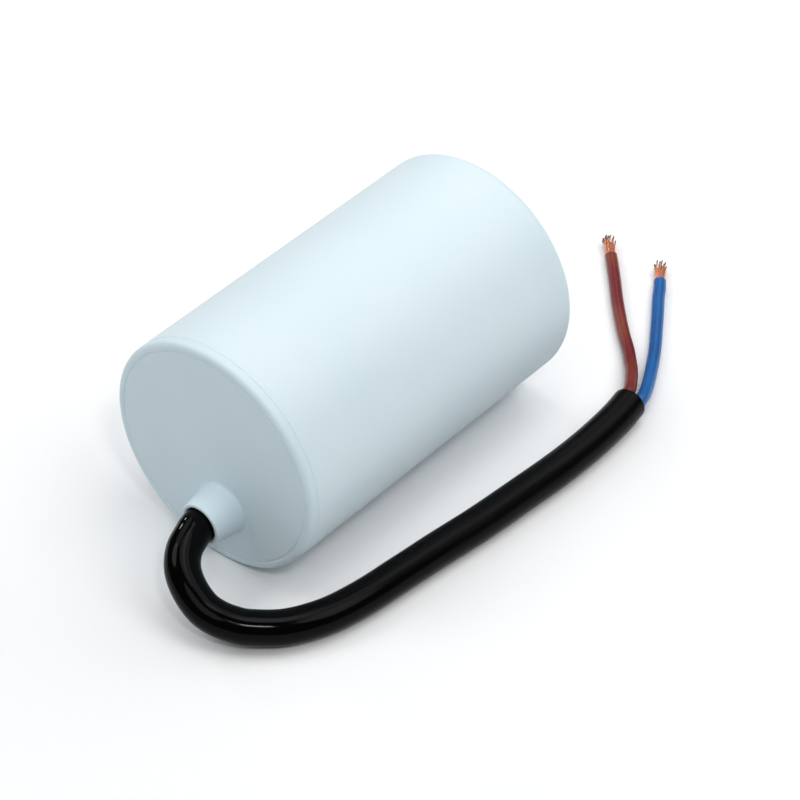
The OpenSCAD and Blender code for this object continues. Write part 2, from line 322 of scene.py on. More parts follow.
def revolve_graph() -> GeometryGraph:
    """Make the tree that turns a profile about a line along X.

    Returns:
        The tree, whose profile has a point for each station and radius.
    """
    g = GeometryGraph("revolve")
    profile = g.input("Geometry", "Geometry")
    segments = g.input("Segments", "Int")
    centre = g.input("Centre", "Vector")
    material = g.input("Material", "Material")
    size = g.add("GeometryNodeAttributeDomainSize", {"Geometry": profile}, component="MESH")
    last = g.math("SUBTRACT", size.outputs["Point Count"], 1.0)
    grid = g.add("GeometryNodeMeshGrid", {
        "Size X": last, "Size Y": segments, "Vertices X": size.outputs["Point Count"],
        "Vertices Y": g.math("ADD", segments, 1.0)})
    position = g.add("GeometryNodeInputPosition").outputs[0]
    spot = g.parts(position)
    column = g.math("MULTIPLY_ADD", last, 0.5, spot[0])
    row = g.math("MULTIPLY_ADD", segments, 0.5, spot[1])
    sample = g.add("GeometryNodeSampleIndex", {
        "Geometry": profile, "Index": g.math("ROUND", column)}, data_type="FLOAT_VECTOR")
    g.tree.links.new(position, live(sample.inputs, "Value"))
    station, radius, _ = g.parts(live(sample.outputs))
    share = g.math("DIVIDE", g.math("ROUND", row), segments)
    angle = g.math("MULTIPLY", share, math.tau)
    placed = g.add("ShaderNodeVectorMath", {
        0: g.vector(station, *g.polar(radius, angle)), 1: centre}, operation="ADD")
    shaped = g.add("GeometryNodeSetPosition", {
        "Geometry": grid.outputs[0], "Position": placed.outputs[0]})
    closed = g.add("GeometryNodeMergeByDistance", {0: shaped.outputs[0], "Distance": 1e-6})
    g.close(closed.outputs[0], material)
    return g


def strand_graph() -> GeometryGraph:
    """Make the tree that fans bare strands out of a core's end, in layers of 2, 8 and 14.

    Returns:
        The tree, which takes no geometry of its own.
    """
    inner, step, stagger = 2, 6, math.radians(20)
    widths, lengths = (0.85, 1.2), (0.78, 1.0)
    points_along, sides, waves_per_metre = 14, 8, 420.0
    g = GeometryGraph("strands")
    g.input("Geometry", "Geometry")
    tip, way = (g.input(name, "Vector") for name in ("Tip", "Direction"))
    count, seed = (g.input(name, "Int") for name in ("Strands", "Seed"))
    radius, pitch, length, spread, turn, stray = (g.input(name, "Float") for name in (
        "Radius", "Pitch", "Length", "Spread", "Turn", "Stray"))
    material = g.input("Material", "Material")

    index = g.add("GeometryNodeInputIndex").outputs[0]
    second = g.math("GREATER_THAN", index, inner - 0.5)
    third = g.math("GREATER_THAN", index, inner + inner + step - 0.5)
    layer = g.math("ADD", second, third)
    first_of = g.math("MULTIPLY_ADD", third, inner + step, g.math("MULTIPLY", second, inner))
    in_layer = g.math("MULTIPLY_ADD", layer, step, inner)
    share = g.math("DIVIDE", g.math("SUBTRACT", index, first_of), in_layer)
    angle = g.math("MULTIPLY_ADD", share, math.tau, g.math("MULTIPLY", layer, stagger))
    place = g.math("MULTIPLY", g.math("ADD", layer, 0.5), pitch)

    def random(limits: Pair, draw: int) -> Socket:
        """Draw a random value for each strand.

        Args:
            limits: The least and the greatest value.
            draw: Number of the draw, which is added to the tree's seed.

        Returns:
            The value.
        """
        node = g.add("FunctionNodeRandomValue", {
            "ID": index, "Seed": g.math("ADD", seed, float(draw))}, data_type="FLOAT")
        for name, value in zip(("Min", "Max"), limits):
            live(node.inputs, name).default_value = value
        return live(node.outputs)

    # One strand, drawn along Z at a distance of 1 from the bundle's middle.
    line = g.add("GeometryNodeCurvePrimitiveLine", {"Start": (0, 0, 0), "End": (0, 0, 1)})
    fine = g.add("GeometryNodeResampleCurve", {"Curve": line.outputs[0], "Count": points_along})
    along = g.add("GeometryNodeSplineParameter").outputs["Factor"]
    kept = g.add("GeometryNodeStoreNamedAttribute", {
        "Geometry": fine.outputs[0], "Name": "along"}, data_type="FLOAT", domain="POINT")
    g.tree.links.new(along, live(kept.inputs, "Value"))
    bend = g.math("MULTIPLY", along, along)
    lean = g.math("MULTIPLY_ADD", g.math("SUBTRACT", spread, 1.0), bend, 1.0)
    twist = g.math("MULTIPLY", turn, bend)
    curved = g.add("GeometryNodeSetPosition", {
        "Geometry": kept.outputs[0],
        "Position": g.vector(*g.polar(lean, twist), along)})

    points = g.add("GeometryNodePoints", {"Count": count})
    wide = g.math("MULTIPLY", place, random(widths, 1))
    tall = g.math("MULTIPLY", length, random(lengths, 2))
    fan = g.add("GeometryNodeInstanceOnPoints", {
        "Points": points.outputs[0], "Instance": curved.outputs[0],
        "Rotation": g.vector(0.0, 0.0, angle), "Scale": g.vector(wide, wide, tall)})
    curves = g.add("GeometryNodeRealizeInstances", {"Geometry": fan.outputs[0]})

    # Each strand wavers a little, more towards its tip.
    wave = g.add("ShaderNodeTexNoise", {
        "Vector": g.add("GeometryNodeInputPosition").outputs[0],
        "Scale": waves_per_metre, "Detail": 1.0})
    shift = g.add("ShaderNodeVectorMath", {
        0: wave.outputs["Color"], 1: (0.5, 0.5, 0.5)}, operation="SUBTRACT")
    stored = g.add("GeometryNodeInputNamedAttribute", {"Name": "along"}, data_type="FLOAT")
    reach = g.math("MULTIPLY", live(stored.outputs), stray)
    loose = g.add("GeometryNodeSetPosition", {
        "Geometry": curves.outputs[0],
        "Offset": g.add("ShaderNodeVectorMath", {
            0: shift.outputs[0], "Scale": reach}, operation="SCALE").outputs[0]})
    ring = g.add("GeometryNodeCurvePrimitiveCircle", {"Resolution": sides, "Radius": radius})
    tubes = g.add("GeometryNodeCurveToMesh", {
        "Curve": loose.outputs[0], "Profile Curve": ring.outputs[0], "Fill Caps": True})
    facing = g.add("FunctionNodeAxesToRotation", {
        "Primary Axis": way, "Secondary Axis": (0.0, 0.0, 1.0)},
        primary_axis="Z", secondary_axis="Y")
    moved = g.add("GeometryNodeTransform", {
        "Geometry": tubes.outputs[0], "Translation": tip, "Rotation": facing.outputs[0]})
    g.close(moved.outputs[0], material)
    return g


# ---- Finishes ----

@dataclass(frozen=True)
class Plastic:
    """Moulded or extruded plastic with a faint grain and slightly uneven colour.

    Colours are as seen on a screen; grain sizes and depths are in metres.
    """

    name: str
    colour: Colour
    shade: Colour
    roughness: float
    grain: float = 0.0006
    grain_depth: float = 0.000004
    patch: float = 0.02
    smear: float = 0.008
    wave: float = 0.01
    wave_depth: float = 0.000032

    def build(self) -> Material:
        """Build the finish.

        Returns:
            Its material.
        """
        g = ShaderGraph(self.name)
        patches = g.spread(g.noise(self.patch, 2.0))
        fine = g.noise(self.grain, 4.0)
        rough = g.spread(g.noise(self.smear, 3.0), self.roughness - 0.05, self.roughness + 0.06)
        waves = g.bump(g.noise(self.wave, 1.0), self.wave_depth, 0.35)
        return g.finish(
            Base_Color=g.mix(patches, self.colour, self.shade), Roughness=rough,
            Normal=g.bump(fine, self.grain_depth, 0.5, waves), IOR=1.49)


@dataclass(frozen=True)
class Sheathing:
    """Smooth black cable sheath, shiny at first and duller towards its end.

    Where it turns dull is given in metres from the sheath's start.
    """

    name: str = "black_sheath"
    colour: Colour = (0.012, 0.013, 0.015)
    scuffed: Colour = (0.06, 0.06, 0.065)
    shiny: float = 0.07
    dull: float = 0.3
    dull_from: float = 0.045
    dull_to: float = 0.085
    streak: float = 0.0008
    streak_stretch: float = 0.06
    scuff: float = 0.0011
    grain: float = 0.00035
    grain_depth: float = 0.000006
    wave: float = 0.006
    wave_depth: float = 0.00012

    def build(self) -> Material:
        """Build the finish, which reads the sheath's own run of length.

        Returns:
            Its material.
        """
        g = ShaderGraph(self.name)
        run = g.add("ShaderNodeUVMap", uv_map="run").outputs[0]
        dull = g.ramp(g.parts(run)[0], self.dull_from, self.dull_to)
        drawn = g.add("ShaderNodeMapping", {
            "Vector": run, "Scale": (self.streak_stretch, 1.0, 1.0)}).outputs[0]
        rough = g.math("MULTIPLY_ADD", dull, self.dull - self.shiny, g.spread(
            g.noise(self.streak, 3.0, drawn), self.shiny - 0.03, self.shiny + 0.07))
        scuffs = g.ramp(g.noise(self.scuff, 4.0), 0.56, 0.72)
        worn = g.math("MULTIPLY", scuffs, g.math("MULTIPLY_ADD", dull, 0.35, 0.08))
        waves = g.bump(g.noise(self.wave, 2.0), self.wave_depth, 0.35)
        return g.finish(
            Base_Color=g.mix(worn, self.colour, self.scuffed), Roughness=rough,
            Normal=g.bump(g.noise(self.grain, 3.0), self.grain_depth, 0.5, waves), IOR=1.5,
            Specular_IOR_Level=0.08)


@dataclass(frozen=True)
class Insulation:
    """Coloured core insulation, with a second tone in patches along it."""

    name: str
    colour: Colour
    tone: Colour
    roughness: float = 0.36
    patch: float = 0.009
    grain: float = 0.0003
    grain_depth: float = 0.000004

    def build(self) -> Material:
        """Build the finish.

        Returns:
            Its material.
        """
        g = ShaderGraph(self.name)
        patches = g.ramp(g.noise(self.patch, 1.5), 0.42, 0.68)
        fine = g.noise(self.grain, 3.0)
        return g.finish(
            Base_Color=g.mix(patches, self.colour, self.tone),
            Roughness=g.spread(fine, self.roughness - 0.06, self.roughness + 0.08),
            Normal=g.bump(fine, self.grain_depth, 0.5), IOR=1.5)


@dataclass(frozen=True)
class Metal:
    """Metal with a grain, a second tone, uneven shine and, if asked, painted shade at strand
    tips.
    """

    name: str
    colour: Colour
    tone: Colour
    roughness: float
    grain: float = 0.0004
    grain_depth: float = 0.00001
    metallic: float = 1.0
    tip_shade_colour: Colour | None = None
    tips_from: float = 0.7
    tips_to: float = 0.92
    tip_mottle: float = 0.0009

    def build(self) -> Material:
        """Build the finish; a darker tip colour paints shade on each strand's last stretch.

        Returns:
            Its material.
        """
        g = ShaderGraph(self.name)
        grain = g.noise(self.grain, 4.0)
        colour = g.mix(g.ramp(grain, 0.35, 0.65), self.colour, self.tone)
        if self.tip_shade_colour:
            along = g.add("ShaderNodeAttribute", attribute_name="along").outputs["Fac"]
            # Painted shade: each strand's last stretch is darkened in patches in place of the
            # shading of its cut end.
            painted_tip_shade = g.math("MULTIPLY", g.ramp(along, self.tips_from, self.tips_to),
                           g.ramp(g.noise(self.tip_mottle, 2.0), 0.3, 0.5))
            colour = g.mix(painted_tip_shade, colour, self.tip_shade_colour)
        return g.finish(
            Base_Color=colour, Metallic=self.metallic,
            Roughness=g.spread(grain, self.roughness - 0.08, self.roughness + 0.1),
            Normal=g.bump(grain, self.grain_depth, 0.6))


@dataclass(frozen=True)
class Winding:
    """Wound metallised film: fine rings on its ends, smooth wraps on its side."""

    name: str = "film"
    colour: Colour = (0.80, 0.81, 0.84)
    tone: Colour = (0.62, 0.63, 0.68)
    axis_z: float = 0.0225
    ring: float = 0.00025
    ring_depth: float = 0.00002

    def build(self) -> Material:
        """Build the finish.

        Returns:
            Its material.
        """
        g = ShaderGraph(self.name)
        _, across, height = g.parts(g.place)
        up = g.math("SUBTRACT", height, self.axis_z)
        squares = g.math("MULTIPLY_ADD", across, across, g.math("MULTIPLY", up, up))
        rings = g.noise(self.ring, 3.0, g.vector(g.math("SQRT", squares)))
        return g.finish(
            Base_Color=g.mix(g.ramp(rings, 0.35, 0.65), self.colour, self.tone),
            Metallic=0.75, Roughness=g.spread(rings, 0.24, 0.4),
            Normal=g.bump(rings, self.ring_depth, 0.5))


@dataclass(frozen=True)
class CastResin:
    """Potting resin: cloudy, a little translucent, with small bubbles."""

    name: str = "resin"
    colour: Colour = (0.66, 0.60, 0.46)
    tone: Colour = (0.50, 0.44, 0.32)
    cloud: float = 0.008
    bubbles_per_metre: float = 600.0
    bubble_depth: float = 0.0001

    def build(self) -> Material:
        """Build the finish.

        Returns:
            Its material.
        """
        g = ShaderGraph(self.name)
        clouds = g.ramp(g.noise(self.cloud, 4.0), 0.35, 0.65)
        cells = g.add("ShaderNodeTexVoronoi", {
            "Vector": g.place, "Scale": self.bubbles_per_metre})
        bubbles = g.ramp(cells.outputs["Distance"], 0.08, 0.16)
        return g.finish(
            Base_Color=g.mix(clouds, self.colour, self.tone), Roughness=0.22,
            Normal=g.bump(bubbles, self.bubble_depth, 0.4), Coat_Weight=0.3,
            Coat_Roughness=0.1)


class Look(Enum):
    """Each material slot of the record, with its finish."""

    CAN = Plastic("can_plastic", (0.876, 0.936, 0.961), (0.860, 0.926, 0.954), 0.50)
    LID = Plastic("lid_plastic", (0.862, 0.930, 0.958), (0.845, 0.918, 0.950), 0.50)
    SHEATH = Sheathing()
    BROWN = Insulation("brown_insulation", (0.44, 0.085, 0.095), (0.50, 0.21, 0.13))
    BLUE = Insulation("blue_insulation", (0.03, 0.325, 0.60), (0.055, 0.385, 0.66))
    # Copper's dark tip colour is painted shade at the strands' cut ends.
    COPPER = Metal("copper", (0.98, 0.72, 0.58), (0.84, 0.46, 0.30), 0.3, metallic=0.75,
                   tip_shade_colour=(0.33, 0.30, 0.28))
    BARE = Metal("bare_conductor", (0.93, 0.62, 0.42), (0.82, 0.46, 0.28), 0.28)
    FILM = Winding()
    CORE = Plastic("core_plastic", (0.90, 0.89, 0.84), (0.86, 0.85, 0.79), 0.45)
    ZINC = Metal("sprayed_zinc", (0.66, 0.67, 0.69), (0.46, 0.47, 0.49), 0.55, 0.0003, 0.00006)
    SOLDER = Metal("solder", (0.84, 0.84, 0.86), (0.70, 0.70, 0.73), 0.2, 0.0015, 0.00002)
    RESIN = CastResin()

    @cached_property
    def material(self) -> Material:
        """The finish's material, built the first time it is asked for."""
        return self.value.build()


# ---- Mesh helpers ----

def link(name: str, data: bpy.types.ID) -> Object:
    """Put a new object with a mesh, camera or light into the scene.

    Args:
        name: The object's name.
        data: What it holds.

    Returns:
        The object.
    """
    piece = bpy.data.objects.new(name, data)
    bpy.context.scene.collection.objects.link(piece)
    return piece


def to_mesh(bm: BMesh, name: str) -> Mesh:
    """Turn what was built into a mesh.

    Args:
        bm: What was built; it is freed.
        name: The mesh's name.

    Returns:
        The mesh.
    """
    mesh = bpy.data.meshes.new(name)
    bm.to_mesh(mesh)
    bm.free()
    return mesh


def add_piece(piece: Object, replaced: str, slot: str, material: Material | None = None) -> None:
    """Put a finished piece under the root body and hide the node it stands for.

    Args:
        piece: The object, with its mesh in place.
        replaced: The node it stands for.
        slot: Name of the record's material slot, which is only logged.
        material: A material to give it, if it has none yet.
    """
    if material:
        piece.data.materials.clear()
        piece.data.materials.append(material)
    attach(piece, "root")
    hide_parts(replaced)
    LOG.info("%s: %d vertices, %s", piece.name, len(piece.data.vertices), slot)


def close_up(mesh: Mesh, sharp: float = 32.0) -> None:
    """Turn a mesh's faces outward and shade it smooth.

    Args:
        mesh: The mesh.
        sharp: Angle in degrees above which an edge stays sharp.
    """
    bm = bmesh.new()
    bm.from_mesh(mesh)
    bmesh.ops.recalc_face_normals(bm, faces=bm.faces)
    for face in bm.faces:
        face.smooth = True
    bm.to_mesh(mesh)
    bm.free()
    mesh.set_sharp_from_angle(angle=math.radians(sharp))


def arc(centre: Pair, radius: float, start: float, end: float, steps: int = 8) -> Profile:
    """Lay points along an arc in a profile.

    Args:
        centre: Station and radius of its middle.
        radius: The arc's own radius.
        start: Angle of its first point, in degrees from the station's direction.
        end: Angle of its last point.
        steps: Number of stretches.

    Returns:
        The arc's points.
    """
    angles = (math.radians(start + (end - start) * i / steps) for i in range(steps + 1))
    return [(centre[0] + radius * math.cos(a), centre[1] + radius * math.sin(a))
            for a in angles]


def supported(profile: Profile, margin: float = 0.08 * MM, least: float = 0.5 * MM) -> Profile:
    """Add points near both ends of long straight stretches, so that they shade flat.

    Args:
        profile: The profile.
        margin: How far from the end a point is added.
        least: Length of the shortest stretch that gets points.

    Returns:
        The profile with its new points.
    """
    out = [profile[0]]
    for first, second in zip(profile, profile[1:]):
        a, b = Vector(first), Vector(second)
        if (b - a).length > least:
            step = (b - a).normalized() * margin
            out += [tuple(a + step), tuple(b - step)]
        out.append(second)
    return out


def profile_mesh(profile: Profile) -> Mesh:
    """Make a mesh of a profile for a Geometry Nodes tree.

    Args:
        profile: The profile.

    Returns:
        A mesh with its points and the edges between them.
    """
    mesh = bpy.data.meshes.new("profile")
    mesh.from_pydata([(x, r, 0.0) for x, r in profile],
                     [(i, i + 1) for i in range(len(profile) - 1)], [])
    return mesh


def curve_through(points: list[Vector], steps: int, radius: float) -> list[Vector]:
    """Smooth curve through the points that stays a radius above the floor.

    Args:
        points: Points it passes through.
        steps: Number of stretches between two of them.
        radius: Radius of the cord that follows it.

    Returns:
        The curve's points.
    """
    ends = [2 * points[0] - points[1], *points, 2 * points[-1] - points[-2]]
    out: list[Vector] = []
    for a, b, c, d in zip(ends, ends[1:], ends[2:], ends[3:]):
        for k in range(steps):
            t = k / steps
            out.append(0.5 * (2 * b + (c - a) * t + (2 * a - 5 * b + 4 * c - d) * t ** 2
                              + (3 * b - a - 3 * c + d) * t ** 3))
    out.append(points[-1])
    for point in out:
        point.z = max(point.z, radius)
    return out


def length_of(path: list[Vector]) -> float:
    """Length of a path in metres."""
    return sum((b - a).length for a, b in zip(path, path[1:]))


# ---- Cable ----

# The cable's centreline in metres. It is the route of part.scad, placed.
SHEATH_ROUTE: list[Point] = [
    (-0.0245, -0.002, 0.0123), (-0.0315, -0.002, 0.0123), (-0.0385, -0.002, 0.0123),
    (-0.041, -0.0025, 0.0119), (-0.044, -0.0035, 0.01109), (-0.0465, -0.0055, 0.00967),
    (-0.048, -0.0085, 0.00795), (-0.0485, -0.0118, 0.00623), (-0.048, -0.0145, 0.00522),
    (-0.0468, -0.017, 0.00441), (-0.045, -0.0195, 0.00381), (-0.0405, -0.0237, 0.0033),
    (-0.034, -0.027, 0.0032), (-0.0265, -0.0288, 0.0032), (-0.018, -0.0298, 0.0032),
    (-0.009, -0.0308, 0.0032), (0.0005, -0.032, 0.0032), (0.01, -0.0328, 0.0032),
    (0.021, -0.0336, 0.0032), (0.03, -0.0337, 0.0032), (0.038, -0.0332, 0.0032),
    (0.0432, -0.0324, 0.0032)]
BROWN_ROUTE: list[Point] = [
    (0.0457, -0.03035, 0.00335), (0.0484, -0.02875, 0.00285), (0.0517, -0.02635, 0.0022),
    (0.05425, -0.0241, 0.0017), (0.05675, -0.02175, 0.0014), (0.06025, -0.01795, 0.0012),
    (0.06375, -0.0144, 0.0012), (0.0671, -0.01115, 0.0012), (0.0707, -0.0079, 0.0012),
    (0.0745, -0.0044, 0.0012), (0.0773, -0.0017, 0.0012)]
BLUE_ROUTE: list[Point] = [
    (0.0458, -0.03315, 0.00285), (0.0481, -0.0323, 0.0025), (0.0516, -0.0305, 0.002),
    (0.05515, -0.02845, 0.0016), (0.06, -0.0255, 0.0013), (0.0642, -0.02265, 0.0012),
    (0.0684, -0.01975, 0.0012), (0.0724, -0.0169, 0.0012), (0.0751, -0.01515, 0.0012),
    (0.0771, -0.0137, 0.0012)]


@dataclass
class Tube:
    """Round tube swept along a path, with rounded rims and hollow ends.

    Args:
        path: Centreline.
        radius: Outer radius.
        bore: Radius of the opening at each end, which narrows a little.
        depth: How far the opening goes in.
        rim: Rounding of the outer rim.
        sides: Number of sides.
        slant: Slope of the cut at the far end, which is cut back on its upper side.
    """

    path: list[Vector]
    radius: float
    bore: float
    depth: float
    rim: float
    sides: int
    slant: float = 0.0

    def _frames(self) -> list[tuple[Vector, Vector]]:
        """Find how the tube is turned at each point of its path.

        Returns:
            For each point, the directions to its side and up, across the path.
        """
        path = [self.path[0], *self.path, self.path[-1]]
        frames = []
        for behind, ahead in zip(path, path[2:]):
            way = (ahead - behind).normalized()
            side = Vector((0, 0, 1)).cross(way).normalized()
            frames.append((side, way.cross(side)))
        return frames

    def _rings(self) -> list[tuple[Vector, int, float, float]]:
        """Lay out the tube's rings, from the bottom of one opening to the other's.

        Returns:
            Each ring's centre, its frame's index, its radius and its run of length.
        """
        first, last = self.path[0], self.path[-1]
        start_way = (self.path[1] - first).normalized()
        end_way = (last - self.path[-2]).normalized()
        total, end = length_of(self.path), len(self.path) - 1
        narrow, clear = self.bore * 0.98, self.rim * 1.5
        turns = [math.radians(22.5 * i) for i in range(5)]
        mouth = [(self.depth, narrow), (0.0, self.bore), *(
            (self.rim * (1 - math.cos(a)), self.radius - self.rim * (1 - math.sin(a)))
            for a in turns)]
        rings = [(first + start_way * inward, 0, radius, 0.0) for inward, radius in mouth]
        run = 0.0
        for i in range(1, end):
            run += (self.path[i] - self.path[i - 1]).length
            if clear < run < total - clear:
                rings.append((self.path[i], i, self.radius, run))
        rings += [(last - end_way * inward, end, radius, total)
                  for inward, radius in reversed(mouth)]
        return rings

    def build(self, name: str) -> Object:
        """Build the tube.

        Args:
            name: The object's name.

        Returns:
            The tube, with a run map that holds the length along it and round it.
        """
        bm = bmesh.new()
        run_map = bm.loops.layers.uv.new("run")
        frames = self._frames()
        turns = [math.tau * k / self.sides for k in range(self.sides)]
        loops, runs = [], []
        for centre, index, radius, run in self._rings():
            side, up = frames[index]
            back = -side.cross(up) * (self.slant if index == len(self.path) - 1 else 0.0)
            loops.append([bm.verts.new(centre + radius * (
                math.cos(turn) * side + math.sin(turn) * (up + back))) for turn in turns])
            runs.append(run)
        for row, (low, high) in enumerate(zip(loops, loops[1:])):
            for k in range(self.sides):
                j = (k + 1) % self.sides
                face = bm.faces.new((low[k], low[j], high[j], high[k]))
                corners = ((row, k), (row, k + 1), (row + 1, k + 1), (row + 1, k))
                for loop, (u, v) in zip(face.loops, corners):
                    loop[run_map].uv = (runs[u], math.tau * self.radius * v / self.sides)
        bm.faces.new(loops[0])
        bm.faces.new(loops[-1])
        mesh = to_mesh(bm, name)
        close_up(mesh, 50.0)
        return link(name, mesh)


@dataclass
class Strands:
    """Bare copper strands that fan out of a core's end.

    Pitch is the distance between layers, length that of the longest strand, spread how
    far the fan opens, turn its twist and stray how far a tip may waver.
    """

    tip: Vector
    direction: Vector
    seed: int
    count: int = 24
    radius: float = 0.00013
    pitch: float = 0.00028
    length: float = 0.0055
    spread: float = 1.65
    turn: float = math.radians(40)
    stray: float = 0.0007

    def build(self, name: str, graph: GeometryGraph) -> Object:
        """Build the strands.

        Args:
            name: The object's name.
            graph: The tree that makes strands.

        Returns:
            All of them as one object.
        """
        return graph.run(name, bpy.data.meshes.new("empty"), {
            "Tip": tuple(self.tip), "Direction": tuple(self.direction),
            "Strands": self.count, "Radius": self.radius, "Pitch": self.pitch,
            "Length": self.length, "Spread": self.spread, "Turn": self.turn,
            "Stray": self.stray, "Seed": self.seed, "Material": Look.COPPER.material})


@dataclass
class Cable:
    """The cable: sheath, two cores and their bare strands.

    Pair_r is a core's distance from the sheath's middle and pair_twist how the pair is
    turned. A core starts inset inside the sheath, and its strands start strands_in
    inside the core and climb by strands_rise.
    """

    sheath_r: float = 0.0032
    sheath_bore: float = 0.00262
    sheath_rim: float = 0.0002
    core_r: float = 0.0012
    core_bore: float = 0.00078
    core_depth: float = 0.0008
    core_rim: float = 0.00008
    core_slant: float = 0.45
    pair_r: float = 0.00135
    pair_twist: float = math.radians(13)
    inset: float = 0.0009
    strands_in: float = 0.0004
    strands_rise: float = 0.035
    strands: GeometryGraph = field(default_factory=strand_graph)

    def build(self) -> None:
        """Make the cable's pieces."""
        route = [Vector(p) for p in SHEATH_ROUTE]
        path = curve_through(route, 6, self.sheath_r)
        sheath = Tube(path, self.sheath_r, self.sheath_bore, self.inset, self.sheath_rim,
                      sides=64).build("cable_sheath")
        add_piece(sheath, "sheath", "black_sheath", Look.SHEATH.material)
        end, way = path[-1], (path[-1] - path[-2]).normalized()
        side = Vector((-way.y, way.x, 0.0))
        offset = self.pair_r * (math.cos(self.pair_twist) * side
                                + math.sin(self.pair_twist) * Vector((0, 0, 1)))
        self._core("brown", end, way, offset, BROWN_ROUTE, Look.BROWN.material, 0.0458, 7)
        self._core("blue", end, way, -offset, BLUE_ROUTE, Look.BLUE.material, 0.0395, 19)

    def _core(self, colour: str, end: Vector, way: Vector, offset: Vector,
              points: list[Point], material: Material, length: float, seed: int) -> None:
        """Make one core and its strands.

        Args:
            colour: The core's name.
            end: Middle of the sheath's end.
            way: Direction in which the sheath ends.
            offset: Its place from the sheath's middle.
            points: Its route past the sheath.
            material: Its insulation.
            length: From the sheath to the bare strands; not used.
            seed: For its strands.
        """
        start = end + offset
        path = curve_through([start, *(Vector(p) for p in points)], 8, self.core_r)
        path.insert(0, start - way * self.inset)
        core = Tube(path, self.core_r, self.core_bore, self.core_depth, self.core_rim,
                    sides=32, slant=self.core_slant).build(f"{colour}_insulation")
        add_piece(core, f"{colour}_core", f"{colour}_insulation", material)
        facing = (path[-1] - path[-2]).normalized()
        rising = (facing + Vector((0.0, 0.0, self.strands_rise))).normalized()
        copper = Strands(path[-1] - facing * self.strands_in, rising, seed
                         ).build(f"{colour}_copper", self.strands)
        add_piece(copper, f"{colour}_strands", "copper")


# ---- Can and lid ----

@dataclass
class Can:
    """The round can, a surface of revolution made from its half section."""

    wall: float = 0.0015
    end_wall: float = 0.002
    end_round: float = 0.002
    inner_round: float = 0.001
    seam_bevel: float = 0.00015
    segments: int = 256

    def profile(self) -> Profile:
        """Draw the can's half section.

        Returns:
            Its points, from the middle of the closed end round to inside.
        """
        low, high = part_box("case")
        x0, x1, radius = low.x, high.x, high.z / 2
        bore, inside = radius - self.wall, high.x - self.end_wall
        outer = [(x1, 0.0), *arc((x1 - self.end_round, radius - self.end_round),
                                 self.end_round, 0, 90, 10),
                 (x0 + self.seam_bevel, radius), (x0, radius - self.seam_bevel)]
        inner = [(x0, bore), *arc((inside - self.inner_round, bore - self.inner_round),
                                  self.inner_round, 90, 0, 6), (inside, 0.0)]
        return supported(outer + inner)

    def build(self) -> None:
        """Make the can."""
        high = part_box("case")[1]
        can = revolve_graph().run("can", profile_mesh(self.profile()), {
            "Segments": self.segments, "Centre": (0.0, 0.0, high.z / 2),
            "Material": Look.CAN.material})
        close_up(can.data)
        add_piece(can, "case", "can_plastic")


